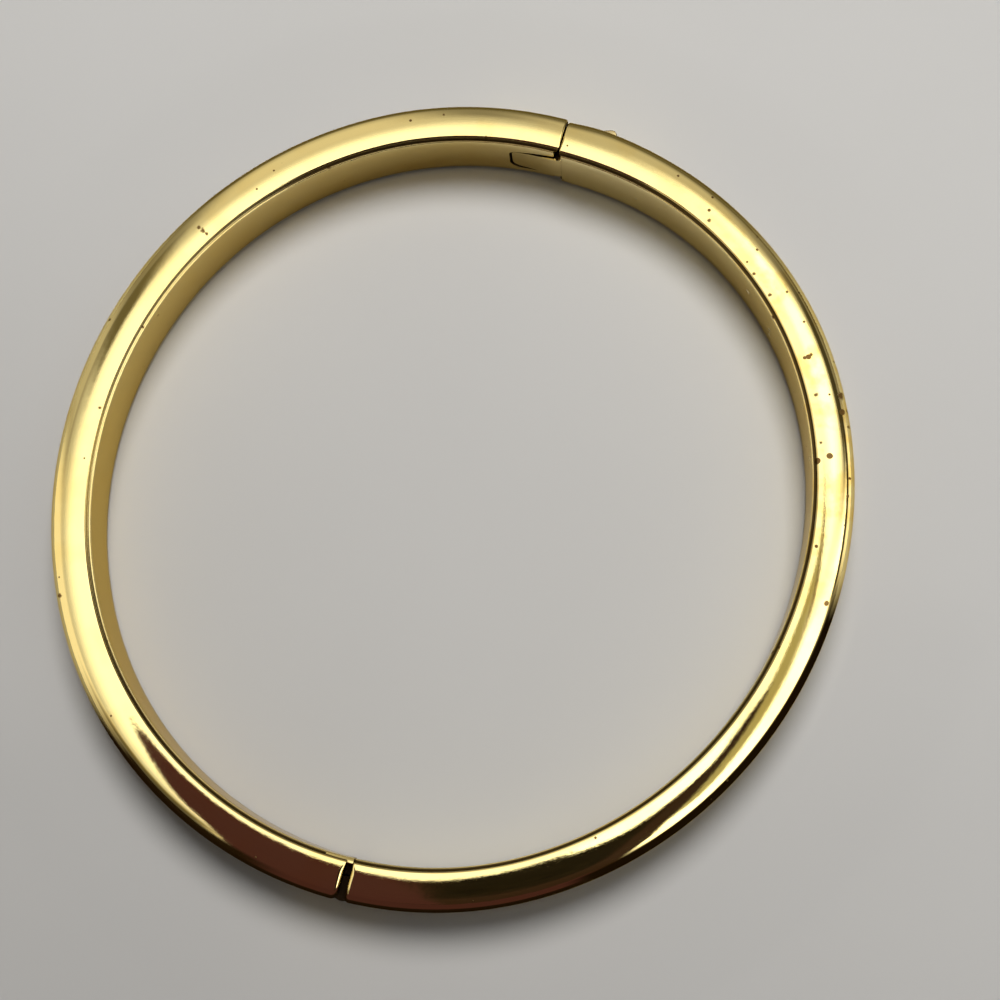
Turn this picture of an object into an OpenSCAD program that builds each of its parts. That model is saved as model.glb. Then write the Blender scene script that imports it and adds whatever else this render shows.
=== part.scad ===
// Hinged oval bangle lying on its side: two gold halves, a hinge, a tongue clasp with a
// push button, and a band of enamel let into the outer face of each half. Millimetres.
// The cut between the halves runs along Y: clasp at +Y, hinge at -Y, tongue half at +X.

/* [Oval] */
// Wrist opening along the long axis of the oval
opening_long = 59.2; // [57:0.1:64]
// How much longer the opening is along the oval than across it
long_minus_short = 2.4; // [1.2:1.2:3.6]
// Turn of the long axis from the line between hinge and clasp
oval_turn = -12.8; // [-20:0.1:-5]

/* [Band] */
// Width of the band, which is its height when the bangle lies on its side
band_w = 6; // [6:0.1:7]
// Thickness of the band from its inner face to its outer face
band_t = 3.2; // [3:0.05:3.6]
// Rounding of the edge next to the wrist
inner_round = 0.45; // [0.3:0.05:0.6]
// Rounding of the edge next to the outer face
outer_round = 1.2; // [0.9:0.05:1.2]
// Tilt of the crowned side face where it meets the roundings, in degrees
crown_tilt = 9; // [4:1:12]

/* [Cut between the halves] */
// Offset of the straight cut from the middle of the oval
cut_x = 0.9; // [0:0.1:1.5]
// Gap between the halves at the clasp
clasp_gap = 0.1; // [0.06:0.02:0.2]
// Gap between the halves at the hinge
hinge_gap = 0.56; // [0.5:0.02:0.6]

/* [Hinge] */
// Depth of the pin's axis below the outer face
pin_depth = 1.0; // [1:0.01:1.04]
// Radius of the hinge pin
pin_r = 0.4; // [0.3:0.02:0.46]
// Radius of the hinge knuckles
knuckle_r = 0.95; // [0.85:0.01:0.95]
// Height of the whole stack of knuckles
stack_h = 4.0; // [3.4:0.1:4]
// Share of the stack that the middle knuckle takes
middle_share = 0.36; // [0.3:0.01:0.42]
// Rounding of the outer corners of both halves at the hinge
hinge_corner_r = 0.6; // [0.56:0.02:0.7]

/* [Clasp] */
// Length of the tongue past the cut
tongue_len = 4.0; // [3:0.1:6]
// Height of the tongue
tongue_h = 3.1; // [2.5:0.1:3.6]
// Thickness of the tongue
tongue_t = 0.9; // [0.6:0.05:1.1]
// Rounding of the tongue's tip
tongue_corner_r = 0.45; // [0.2:0.05:0.9]
// Clearance between the tongue and its notch
notch_gap = 0.12; // [0.08:0.02:0.2]
// Rounding of the outer corners of both halves at the clasp
clasp_corner_r = 0.3; // [0.15:0.05:0.4]

/* [Release button] */
// Distance from the cut to the near side of the button
button_from_cut = 1.8; // [1.5:0.1:2.4]
// Length of the button along the band
button_len = 2.3; // [1.8:0.05:2.4]
// Height of the button
button_h = 3.2; // [2.4:0.1:3.4]
// How far the button stands out of the band at its far side, before its rounding
button_proud = 0.65; // [0.5:0.05:0.8]
// Depth of the button below its crest
button_deep = 1.5; // [1.4:0.05:1.6]
// Rounding of the button's crest
button_round = 0.3; // [0.1:0.05:0.35]
// How far the button can be pressed
button_travel = 0.4; // [0.2:0.05:0.45]
// Clearance round the button
button_gap = 0.08; // [0.05:0.01:0.1]

/* [Enamel] */
// Height of the enamel bands
enamel_h = 3.4; // [2.8:0.1:3.4]
// Thickness of the enamel
enamel_t = 0.4; // [0.3:0.05:0.6]
// Bare metal between the hinge and the enamel, in degrees round the oval
enamel_hinge_margin = 7; // [6:0.5:15]
// Bare metal between the clasp and the enamel, in degrees round the oval
enamel_clasp_margin = 14; // [13:0.5:20]
// Gap between the enamel and the metal round it
enamel_gap = 0.03; // [0.02:0.01:0.05]

/* [Hidden] */
$fn = 96;

gold = [0.83, 0.68, 0.33];
pale_gold = [0.88, 0.76, 0.46];
steel = [0.70, 0.69, 0.66];
brown_enamel = [0.27, 0.15, 0.10];

reach = 60;          // size of a cutting block that passes the whole bangle
lap = 0.01;          // how far one piece of a solid, or of a cut, runs into the next
press_gap = 0.02;    // gap round the pin in the knuckles that hold it
running_gap = 0.05;  // gap round the pin in the knuckle that turns on it
knuckle_gap = 0.1;   // gap round and between the knuckles
seat_depth = 0.05;   // how far the hinge's inner block stops short of the inner face
bridge_past = 0.2;   // how far that block passes the middle of the gap
corner_lap = 0.01;   // how far a corner's circle passes the faces it joins

// The oval is four arcs: side arcs centred on its short axis and end arcs centred on its long
// axis. The centres lie 20 and 21 units from the middle, so 29 units apart: neighbouring arcs
// meet without a kink on the line through both centres, and every length stays a short decimal.
arc_unit = long_minus_short / 24;
side_shift = 20 * arc_unit;
end_shift = 21 * arc_unit;
end_r = opening_long / 2 - end_shift;
side_r = end_r + 29 * arc_unit;
joint_far = [60, 63 + end_shift];

// Centre of the end arc on the clasp's side
end_centre = [-end_shift * sin(oval_turn), end_shift * cos(oval_turn)];

// Y of a surface at a depth from the inner face, at the clasp and at the hinge
function clasp_y(x, depth) = end_centre.y + sqrt(pow(end_r + depth, 2) - pow(x - end_centre.x, 2));
function hinge_y(x, depth) = -end_centre.y - sqrt(pow(end_r + depth, 2) - pow(x + end_centre.x, 2));

// Directions of clasp and hinge from the middle of the bangle
clasp_dir = atan2(clasp_y(cut_x, band_t), cut_x);
hinge_dir = atan2(hinge_y(cut_x, band_t), cut_x);

pin_at = [cut_x, hinge_y(cut_x, band_t) + pin_depth];
stack_z0 = (band_w - stack_h) / 2;
stack_z1 = (band_w + stack_h) / 2;
middle_h = stack_h * middle_share;
middle_z0 = (band_w - middle_h) / 2;
middle_z1 = (band_w + middle_h) / 2;
knuckle_reach = knuckle_r + knuckle_gap;
bridge_depth = band_t - pin_depth - knuckle_reach;

button_x0 = cut_x + button_from_cut;
button_x1 = button_x0 + button_len;
button_low = clasp_y(button_x0, band_t);
button_crest = clasp_y(button_x1, band_t) + button_proud;
button_floor = button_crest - button_deep;
button_slope = atan((button_crest - button_low) / button_len);

// Points of an arc whose direction runs from a0 to a1, counted clockwise from straight up
function arc_points(centre, r, a0, a1, steps, first = 0) =
    [for (i = [first:steps]) let (a = a0 + (a1 - a0) * i / steps) centre + r * [sin(a), cos(a)]];

function mirrored(points) = [for (i = [len(points) - 1:-1:0]) [points[i].x, band_w - points[i].y]];

function rounded_box(x0, x1, z0, z1, r) = concat(
    arc_points([x1 - r, z1 - r], r, 0, 90, 4),
    arc_points([x1 - r, z0 + r], r, 90, 180, 4),
    arc_points([x0 + r, z0 + r], r, 180, 270, 4),
    arc_points([x0 + r, z1 - r], r, 270, 360, 4));

// Cross-section of the band: inner face at x = 0, standing on y = 0, both side faces crowned.
// A crown is five short flats, so the bangle stands on the middle one of the lower crown.
module band_section() {
    inner_x = inner_round * (1 - sin(crown_tilt));
    outer_x = band_t - outer_round * (1 - sin(crown_tilt));
    crown_r = (outer_x - inner_x) / 2 / sin(crown_tilt);
    crown_y = band_w - crown_r * cos(crown_tilt / 5);
    shoulder = crown_y + crown_r * cos(crown_tilt);
    inner_centre = [inner_round, shoulder - inner_round * cos(crown_tilt)];
    crown_centre = [(inner_x + outer_x) / 2, crown_y];
    outer_centre = [band_t - outer_round, shoulder - outer_round * cos(crown_tilt)];
    top = concat(
        arc_points(inner_centre, inner_round, -90, -crown_tilt, 5),
        arc_points(crown_centre, crown_r, -crown_tilt, crown_tilt, 5, 1),
        arc_points(outer_centre, outer_round, crown_tilt, 90, 7, 1));
    polygon(concat(top, mirrored(top)));
}

// A square-edged section between two depths from the inner face and two heights
module plain_section(depth0, depth1, z0, z1) {
    translate([depth0, z0]) square([depth1 - depth0, z1 - z0]);
}

// A section swept round one arc of the oval, between its joints with its neighbours
module oval_arc(centre, r, corner0, corner1) {
    intersection() {
        translate([centre.x, centre.y, 0]) rotate_extrude() translate([r, 0]) children();
        translate([0, 0, -1]) linear_extrude(band_w + 2) polygon([centre, corner0, corner1]);
    }
}

// A section swept round the whole oval
module round_oval() {
    x = joint_far.x;
    y = joint_far.y;
    rotate([0, 0, oval_turn]) {
        oval_arc([-side_shift, 0], side_r, [x, -y], [x, y]) children();
        oval_arc([0, end_shift], end_r, [x, y], [-x, y]) children();
        oval_arc([side_shift, 0], side_r, [-x, y], [-x, -y]) children();
        oval_arc([0, -end_shift], end_r, [-x, -y], [x, -y]) children();
    }
}

// Everything between two directions from the middle of the bangle
module sector(from, to) {
    translate([0, 0, -1]) linear_extrude(band_w + 2)
        polygon(concat([[0, 0]], [for (i = [0:5]) let (a = from + (to - from) * i / 5) reach * [cos(a), sin(a)]]));
}

// The part of the bangle on one side of the cut, at the clasp's end and at the hinge's end
module notch_side() {
    translate([cut_x - clasp_gap / 2 - reach, 0, -reach / 2]) cube([reach, reach, reach]);
    translate([cut_x - hinge_gap / 2 - reach, lap - reach, -reach / 2]) cube([reach, reach, reach]);
}

module tongue_side() {
    translate([cut_x + clasp_gap / 2, 0, -reach / 2]) cube([reach, reach, reach]);
    translate([cut_x + hinge_gap / 2, lap - reach, -reach / 2]) cube([reach, reach, reach]);
}

// Removes an outer corner of the band outside a circle of radius r. The corner lies where the
// end face at x meets the outer face, with the metal on the side `side` of that end face.
module corner_cut(x, y, side, r, out) {
    translate([x + side * r, y - out * r, -1])
        linear_extrude(band_w + 2)
            difference() {
                mirror([side > 0 ? 1 : 0, 0]) mirror([0, out > 0 ? 0 : 1]) square(r + 0.5);
                circle(r + corner_lap);
            }
}

module clasp_corner(side) {
    x = cut_x + side * clasp_gap / 2;
    corner_cut(x, clasp_y(x + side * clasp_corner_r, band_t), side, clasp_corner_r, 1);
}

module hinge_corner(side) {
    x = cut_x + side * hinge_gap / 2;
    corner_cut(x, hinge_y(x + side * hinge_corner_r, band_t), side, hinge_corner_r, -1);
}

// A cylinder on the hinge's axis
module on_pin(r, z0, z1) {
    translate([pin_at.x, pin_at.y, z0]) cylinder(r = r, h = z1 - z0);
}

// A knuckle with the web that joins it to the half on its side
module knuckle(side, z0, z1) {
    web_in = knuckle_r * 0.8;
    web_out = knuckle_r * 0.4;
    on_pin(knuckle_r, z0, z1);
    translate([side > 0 ? cut_x : cut_x - knuckle_reach - 0.3, pin_at.y - web_out, z0])
        cube([knuckle_reach + 0.3, web_in + web_out, z1 - z0]);
}

// A tongue-shaped block through the inner face at the clasp, seen from inside the bangle
module tongue_block(depth0, depth1, x0, x1, z0, z1, r) {
    intersection() {
        round_oval() plain_section(depth0, depth1, 0, band_w);
        translate([0, reach, 0]) rotate([90, 0, 0]) linear_extrude(reach)
            polygon(rounded_box(x0, x1, z0, z1, r));
    }
}

// A band let into the outer face, between two directions. With slack it is the recess.
module enamel_band(ends, slack) {
    slack_dir = slack / (end_r + band_t) * 180 / PI;
    intersection() {
        round_oval()
            plain_section(band_t - enamel_t - slack, band_t + (slack > 0 ? 1 : 0),
                          (band_w - enamel_h) / 2 - slack, (band_w + enamel_h) / 2 + slack);
        sector(ends[0] - slack_dir, ends[1] + slack_dir);
    }
}

notch_enamel = [clasp_dir + enamel_clasp_margin, hinge_dir + 360 - enamel_hinge_margin];
tongue_enamel = [hinge_dir + enamel_hinge_margin, clasp_dir - enamel_clasp_margin];

// The half with the notch, the middle knuckle and the block that bridges the gap at the hinge
module notch_half() {
    color(gold) {
        difference() {
            union() {
                difference() {
                    intersection() {
                        round_oval() band_section();
                        notch_side();
                    }
                    clasp_corner(-1);
                    hinge_corner(-1);
                    on_pin(knuckle_reach, stack_z0 - knuckle_gap, stack_z1 + knuckle_gap);
                }
                knuckle(-1, middle_z0 + knuckle_gap / 2, middle_z1 - knuckle_gap / 2);
                intersection() {
                    round_oval()
                        plain_section(seat_depth, bridge_depth, stack_z0 + knuckle_gap, stack_z1 - knuckle_gap);
                    translate([cut_x - 2, -reach, 0]) cube([2 + bridge_past, reach, band_w]);
                }
            }
            on_pin(pin_r + running_gap, stack_z0 - knuckle_gap, stack_z1 + knuckle_gap);
            tongue_block(-1, tongue_t + notch_gap, cut_x - tongue_len - notch_gap, cut_x + 2,
                         (band_w - tongue_h) / 2 - notch_gap, (band_w + tongue_h) / 2 + notch_gap,
                         tongue_corner_r + notch_gap);
            enamel_band(notch_enamel, enamel_gap);
        }
    }
}

// The half with the tongue, the button's slot and the two outer knuckles
module tongue_half() {
    color(gold) {
        difference() {
            union() {
                difference() {
                    intersection() {
                        round_oval() band_section();
                        tongue_side();
                    }
                    clasp_corner(1);
                    hinge_corner(1);
                    on_pin(knuckle_reach, middle_z0 - knuckle_gap / 2, middle_z1 + knuckle_gap / 2);
                }
                knuckle(1, stack_z0, middle_z0 - knuckle_gap / 2);
                knuckle(1, middle_z1 + knuckle_gap / 2, stack_z1);
                tongue_block(0, tongue_t, cut_x - tongue_len, cut_x + 1,
                             (band_w - tongue_h) / 2, (band_w + tongue_h) / 2, tongue_corner_r);
            }
            on_pin(pin_r + press_gap, stack_z0 - knuckle_gap / 2, stack_z1 + knuckle_gap / 2);
            translate([button_x0 - button_gap, button_floor - button_travel - button_gap,
                       (band_w - button_h) / 2 - button_gap])
                cube([button_len + 2 * button_gap, reach, button_h + 2 * button_gap]);
            enamel_band(tongue_enamel, enamel_gap);
        }
    }
}

module notch_half_enamel() {
    color(brown_enamel) enamel_band(notch_enamel, 0);
}

module tongue_half_enamel() {
    color(brown_enamel) enamel_band(tongue_enamel, 0);
}

module hinge_pin() {
    color(steel) on_pin(pin_r, stack_z0, stack_z1);
}

// The wedge that stands out of the tongue half: flush next to the clasp, proud at its far side
module release_button() {
    crest_x = button_x1 - button_round;
    crest_y = button_low + (crest_x - button_x0) * tan(button_slope) - button_round / cos(button_slope);
    color(pale_gold)
        translate([0, 0, (band_w - button_h) / 2])
            linear_extrude(button_h)
                polygon(concat(
                    [[button_x0, button_floor], [button_x0, button_low]],
                    arc_points([crest_x, crest_y], button_round, -button_slope, 90, 6),
                    [[button_x1, button_floor]]));
}

notch_half();
tongue_half();
notch_half_enamel();
tongue_half_enamel();
hinge_pin();
release_button();
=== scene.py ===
import math

import bmesh
import bpy
from mathutils import Euler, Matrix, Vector


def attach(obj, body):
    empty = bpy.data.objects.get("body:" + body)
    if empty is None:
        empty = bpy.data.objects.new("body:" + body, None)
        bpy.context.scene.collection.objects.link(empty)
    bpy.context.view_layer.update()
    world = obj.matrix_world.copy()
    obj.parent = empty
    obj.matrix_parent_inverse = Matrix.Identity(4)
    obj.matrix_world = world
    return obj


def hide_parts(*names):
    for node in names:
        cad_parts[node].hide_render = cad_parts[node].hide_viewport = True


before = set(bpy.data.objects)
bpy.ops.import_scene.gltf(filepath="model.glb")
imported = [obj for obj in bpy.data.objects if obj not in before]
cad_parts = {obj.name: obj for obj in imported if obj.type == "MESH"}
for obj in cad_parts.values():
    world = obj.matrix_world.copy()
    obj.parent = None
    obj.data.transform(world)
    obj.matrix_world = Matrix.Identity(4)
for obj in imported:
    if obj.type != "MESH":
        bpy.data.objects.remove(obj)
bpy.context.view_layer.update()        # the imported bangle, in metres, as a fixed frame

mm = 0.001
scene = bpy.context.scene
print("stage: frame loaded")


# node trees, written as sums

class Wire:
    # a node's output, so that a sum on it adds the Math nodes
    def __init__(self, graph, socket):
        self.graph, self.socket = graph, socket

    def __add__(self, other):
        return self.graph.maths("ADD", self, other)

    def __radd__(self, other):
        return self.graph.maths("ADD", other, self)

    def __sub__(self, other):
        return self.graph.maths("SUBTRACT", self, other)

    def __rsub__(self, other):
        return self.graph.maths("SUBTRACT", other, self)

    def __mul__(self, other):
        return self.graph.maths("MULTIPLY", self, other)

    def __rmul__(self, other):
        return self.graph.maths("MULTIPLY", other, self)

    def __truediv__(self, other):
        return self.graph.maths("DIVIDE", self, other)

    def __neg__(self):
        return self.graph.maths("MULTIPLY", self, -1.0)

    def __abs__(self):
        return self.graph.maths("ABSOLUTE", self)

    def __lt__(self, other):
        return self.graph.maths("LESS_THAN", self, other)

    def __gt__(self, other):
        return self.graph.maths("GREATER_THAN", self, other)

    def out(self, name):
        # another output of the same node
        return Wire(self.graph, self.socket.node.outputs[name])


class Graph:
    def __init__(self, tree):
        self.tree = tree
        tree.nodes.clear()

    def add(self, kind, settings=None, values=None, output=0):
        node = self.tree.nodes.new(kind)
        for name, value in (settings or {}).items():
            setattr(node, name, value)
        for key, value in (values or {}).items():
            for one in value if isinstance(value, list) else [value]:
                if isinstance(one, Wire):
                    self.tree.links.new(one.socket, node.inputs[key])
                else:
                    node.inputs[key].default_value = one
        return Wire(self, node.outputs[output]) if len(node.outputs) else node

    def maths(self, operation, *values):
        return self.add("ShaderNodeMath", {"operation": operation}, dict(enumerate(values)))

    def mix(self, factor, a, b):
        # colours: sockets 6 and 7 of the Mix node, result 2
        return self.add("ShaderNodeMix", {"data_type": "RGBA", "clamp_factor": True},
                        {0: factor, 6: a, 7: b}, 2)


def sine(a):
    return a.graph.maths("SINE", a) if isinstance(a, Wire) else math.sin(a)


def cosine(a):
    return a.graph.maths("COSINE", a) if isinstance(a, Wire) else math.cos(a)


def clamped(a):
    return a.graph.add("ShaderNodeClamp", values={0: a}) if isinstance(a, Wire) else min(max(a, 0.0), 1.0)


def atLeast(a, low):
    return a.graph.maths("MAXIMUM", a, low) if isinstance(a, Wire) else max(a, low)


def signOf(a):
    return a.graph.maths("SIGN", a) if isinstance(a, Wire) else math.copysign(1.0, a)


def eased(a):
    a = clamped(a)
    return a * a * (3.0 - 2.0 * a)


# the camera, at the photograph's angle

view = {
    "place": (18.79, -26.13, 143.72),   # mm
    "turn": (11.97, 2.85, 15.83),       # degrees
    "lens": 64.8,
    "sensor": 36.0,
}

camera = bpy.data.objects.new("camera", bpy.data.cameras.new("camera"))
scene.collection.objects.link(camera)
camera.location = Vector(view["place"]) * mm
camera.rotation_euler = Euler([math.radians(a) for a in view["turn"]])
camera.data.lens = view["lens"]
camera.data.sensor_width = view["sensor"]
camera.data.clip_start, camera.data.clip_end = 0.01, 20.0
scene.camera = camera


# the oval that both halves follow

oval = {
    "opening": 59.2,          # wrist opening along the oval, mm
    "longMinusShort": 2.4,
    "turn": -12.8,            # degrees
    "stray3": (-0.010, 0.061),   # how far the worn band strays from the oval, three times round
    "stray4": (-0.069, 0.033),   # and four times round
}
bandThick, bandWide = 3.2, 6.0      # mm
# the centres of the oval's four arcs stand on triangles with these sides
toSide, toEnd, slant = 20, 21, 29
arcUnit = oval["longMinusShort"] / (2 * (toSide + toEnd - slant))
sideShift, endShift = toSide * arcUnit, toEnd * arcUnit
endRadius = oval["opening"] / 2 - endShift
sideMore = slant * arcUnit
ovalTurn = math.radians(oval["turn"])
endCentre = (-endShift * math.sin(ovalTurn), endShift * math.cos(ovalTurn))   # at the clasp


def stray(turned):
    c3, s3 = oval["stray3"]
    c4, s4 = oval["stray4"]
    three = c3 * cosine(3 * turned) + s3 * sine(3 * turned)
    return three + c4 * cosine(4 * turned) + s4 * sine(4 * turned)


def claspY(x, depth):
    # where the inner face, or a depth behind it, lies beside the clasp
    reach = math.sqrt((endRadius + depth) ** 2 - (x - endCentre[0]) ** 2)
    return endCentre[1] + reach + stray(math.pi / 2 - math.asin((x - endCentre[0]) / (endRadius + depth)))


def hingeY(x, depth):
    return -endCentre[1] - math.sqrt((endRadius + depth) ** 2 - (x + endCentre[0]) ** 2)


# one Geometry Nodes tree sweeps every band

bandSteps = {"wall": 4, "lip": 5, "groove": 7, "bead": 8,
             "crown": 14, "outerRound": 14, "outerWall": 5, "end": 7}
# the inner edge, where the lining meets the band: radii as shares of the inner round, and where
# each arc ends in degrees; the lining stands in by its lip
innerEdge = {"lip": (0.20, -6), "groove": (-0.5, -86), "bead": (0.42, -9)}
liningIn = 0.33
edgeBlend = 5         # steps over which an end's tight inner edge opens out
tightEnd = 0.15       # how tight it is, as a share of the inner round

bandInputs = {
    "Depth": 0.0, "Base": 0.0, "Thickness": bandThick, "Width": bandWide,
    "Inner round": 0.45, "Outer round": 1.2, "Crown tilt": 9.0,
    "Start turn": 90.0, "Start off": 0.0, "Start edge": 0.2, "Start corner": 0.3, "Start inner": 0.0,
    "End turn": 270.0, "End off": 0.0, "End edge": 0.3, "End corner": 0.6, "End inner": 0.0,
    "Step in": 0.0, "Step length": 12.0, "Step length outside": 3.0,
}


def makeBandTree():
    tree = bpy.data.node_groups.new("sweptBand", "GeometryNodeTree")
    tree.interface.new_socket(name="Geometry", in_out="OUTPUT", socket_type="NodeSocketGeometry")
    for name, value in bandInputs.items():
        socket = tree.interface.new_socket(name=name, in_out="INPUT", socket_type="NodeSocketFloat")
        socket.default_value = value
    rings = tree.interface.new_socket(name="Rings", in_out="INPUT", socket_type="NodeSocketInt")
    rings.default_value = 400
    tree.interface.new_socket(name="Material", in_out="INPUT", socket_type="NodeSocketMaterial")
    g = Graph(tree)
    given = g.add("NodeGroupInput")
    size = {item.name: given.out(item.name) for item in tree.interface.items_tree if item.in_out == "INPUT"}

    half = sum(count for step, count in bandSteps.items() if step != "end")
    around = 2 * half + 1
    index = g.add("GeometryNodeInputIndex")
    ring = g.maths("FLOOR", (index + 0.5) / around)
    spot = index - ring * around
    fromWall = half - abs(spot - half)
    up = 1 - 2 * (spot > half + 0.5)

    # the section: a wall, the inner edge with its bead, the crown, a rounding, the outer wall
    tilt = g.maths("RADIANS", size["Crown tilt"])
    thick, wide = size["Thickness"], size["Width"]
    innerR, outerR = size["Inner round"], size["Outer round"]
    arcs, start = [], -math.pi / 2
    for step, (share, end) in innerEdge.items():
        end = -tilt if step == "bead" else math.radians(end)
        arcs.append((step, innerR * share, start, end))
        start = end
    lining = innerR * liningIn
    innerWide = sum(radius * (sine(end) - sine(start)) for step, radius, start, end in arcs) - lining
    innerHigh = sum(radius * (cosine(end) - cosine(start)) for step, radius, start, end in arcs)
    crownR = (thick - innerWide - outerR * (1 - sine(tilt))) / (2 * sine(tilt))
    shoulder = wide - crownR * (1 - cosine(tilt))
    arcs += [("crown", crownR, -tilt, tilt), ("outerRound", outerR, tilt, math.pi / 2)]
    first, depth, height, turned = 0, -lining, wide / 2, -math.pi / 2

    def share(step):
        nonlocal first
        part = clamped((fromWall - first) / bandSteps[step])
        first += bandSteps[step]
        return part

    height = height + share("wall") * (shoulder - innerHigh - wide / 2)
    for step, radius, start, end in arcs:
        part = (end - start) * share(step)
        angle = start + part
        depth = depth + radius * (sine(angle) - sine(start))
        height = height + radius * (cosine(angle) - cosine(start))
        turned = turned + part
    height = height - share("outerWall") * (shoulder - outerR * cosine(tilt) - wide / 2)
    outwards = clamped(sine(turned))

    # the rounded ends draw the section in along a quarter circle, tightly where the inner edge is
    crownFrom = sum(bandSteps[step] for step in ("wall", *innerEdge))
    onInner = clamped((crownFrom + edgeBlend - fromWall) / edgeBlend)
    lastRing = size["Rings"] - 1
    inset = 0.0
    along = {}
    for end, count in (("Start", ring), ("End", lastRing - ring)):
        edge, corner = size[end + " edge"], size[end + " corner"]
        quarter = clamped((count - 1) / bandSteps["end"]) * (math.pi / 2)
        gone = corner * (1 - cosine(quarter))
        radius = edge + (corner - edge) * outwards * outwards
        radius = radius + (g.maths("MINIMUM", edge, innerR * tightEnd) - radius) * onInner
        left = atLeast(radius - gone, 0.0)
        inset = inset + radius - g.maths("SQRT", atLeast(radius * radius - left * left, 0.0))
        along[end] = gone
    depth = depth - inset * sine(turned)
    height = height - inset * cosine(turned)
    height = wide / 2 + (height - wide / 2) * up

    # the first and last rings close the ends
    closing = (ring < 0.5) + (ring > lastRing - 0.5)
    depth = size["Depth"] + depth + closing * (thick / 2 - depth)
    height = height + closing * (wide / 2 - height)

    # which way the band faces at this ring
    faced = {}
    for end, way in (("Start", 1), ("End", -1)):
        off = g.maths("ARCSINE", size[end + " off"] / (endRadius + depth))
        # seen from above, the corner at the inner face is round too
        inner = atLeast(size[end + " inner"], 0.001)
        left = atLeast(inner - (depth - size["Depth"]), 0.0)
        back = inner - g.maths("SQRT", atLeast(inner * inner - left * left, 0.0))
        faced[end] = (g.maths("RADIANS", size[end + " turn"]) + off
                      + way * (along[end] + back) / (endRadius + bandThick / 2))
    firstFree = bandSteps["end"] + 1
    free = clamped((ring - firstFree) / (lastRing - 2 * firstFree))
    facing = faced["Start"] + (faced["End"] - faced["Start"]) * free

    # four arcs make the oval
    ownAngle = facing - ovalTurn
    onSide = abs(cosine(ownAngle)) > toSide / slant
    ownX = onSide * signOf(cosine(ownAngle)) * -sideShift
    ownY = (1 - onSide) * signOf(sine(ownAngle)) * endShift
    outside = clamped(depth / bandThick)
    stepLength = size["Step length"] + (size["Step length outside"] - size["Step length"]) * outside
    nearClasp = eased(1 - abs(facing - math.pi / 2) * endRadius / stepLength)
    radius = endRadius + onSide * sideMore + depth + stray(facing) - size["Step in"] * nearClasp
    x = ownX * math.cos(ovalTurn) - ownY * math.sin(ovalTurn) + radius * cosine(facing)
    y = ownX * math.sin(ovalTurn) + ownY * math.cos(ovalTurn) + radius * sine(facing)
    place = g.add("ShaderNodeCombineXYZ", values={0: x * mm, 1: y * mm, 2: (size["Base"] + height) * mm})

    grid = g.add("GeometryNodeMeshGrid", values={"Vertices X": size["Rings"], "Vertices Y": around})
    band = g.add("GeometryNodeSetPosition", values={"Geometry": grid, "Position": place})
    # marks on the faces, for the finishes: open to the light (the faces that are not get dirt and painted
    # shade), satin (matt, and the inner face's painted shade), and the seam's painted shade in the groove
    lipEnd = bandSteps["wall"] + bandSteps["lip"]
    grooveEnd = lipEnd + bandSteps["groove"]
    marks = {
        "open": 1.0,
        "satin": clamped(bandSteps["wall"] + 1 - fromWall),
        "seam": (fromWall > lipEnd - 0.5) * clamped((grooveEnd + 5 - fromWall) / 3),
    }
    for name, value in marks.items():
        onPoints = g.add("GeometryNodeFieldOnDomain", {"data_type": "FLOAT", "domain": "POINT"},
                         {"Value": value})
        band = g.add("GeometryNodeStoreNamedAttribute", {"data_type": "FLOAT", "domain": "FACE"},
                     {"Geometry": band, "Name": name, "Value": onPoints})
    band = g.add("GeometryNodeMergeByDistance", values={"Geometry": band, "Distance": 0.001 * mm})
    band = g.add("GeometryNodeFlipFaces", values={"Mesh": band})
    band = g.add("GeometryNodeSetShadeSmooth", values={"Geometry": band, "Shade Smooth": True})
    band = g.add("GeometryNodeRealizeInstances", values={"Geometry": band})
    band = g.add("GeometryNodeSetMaterial", values={"Geometry": band, "Material": size["Material"]})
    g.add("NodeGroupOutput", values={"Geometry": band})
    return tree


bandTree = makeBandTree()


def plainMesh(piece):
    # the evaluated piece as a mesh with no modifiers left
    bpy.context.view_layer.update()
    made = bpy.data.meshes.new_from_object(piece.evaluated_get(bpy.context.evaluated_depsgraph_get()))
    piece.modifiers.clear()
    old = piece.data
    piece.data = made
    made.name = piece.name
    if old and old.users == 0:
        bpy.data.meshes.remove(old)
    return piece


def newPiece(name, mesh=None):
    piece = bpy.data.objects.new(name, mesh or bpy.data.meshes.new(name))
    scene.collection.objects.link(piece)
    return piece


def sweepBand(name, rings, material, **sizes):
    piece = newPiece(name)
    modifier = piece.modifiers.new("sweep", "NODES")
    modifier.node_group = bandTree
    sockets = {item.name: item.identifier for item in bandTree.interface.items_tree if item.in_out == "INPUT"}
    for key, value in sizes.items():
        modifier[sockets[key]] = float(value)
    modifier[sockets["Rings"]] = rings
    modifier[sockets["Material"]] = material
    return plainMesh(piece)


# finishes

def newMaterial(name):
    material = bpy.data.materials.new(name)
    material.use_nodes = True
    return material, Graph(material.node_tree)


def surfacePlace(g):
    # a point in millimetres, and where it is round, across and up the band
    place = g.add("ShaderNodeVectorMath", {"operation": "SCALE"},
                  {0: g.add("ShaderNodeTexCoord").out("Object"), "Scale": 1000.0})
    split = g.add("ShaderNodeSeparateXYZ", values={0: place})
    x, y, z = split, split.out("Y"), split.out("Z")
    turned = g.maths("ARCTAN2", y, x)
    radius = g.maths("SQRT", x * x + y * y)
    return place, turned, radius, z


def noise(g, vector, scale, detail, roughness=0.5):
    return g.add("ShaderNodeTexNoise", {}, {"Vector": vector, "Scale": scale, "Detail": detail,
                                            "Roughness": roughness})


def attribute(g, name):
    return g.add("ShaderNodeAttribute", {"attribute_name": name}).out("Fac")


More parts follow.
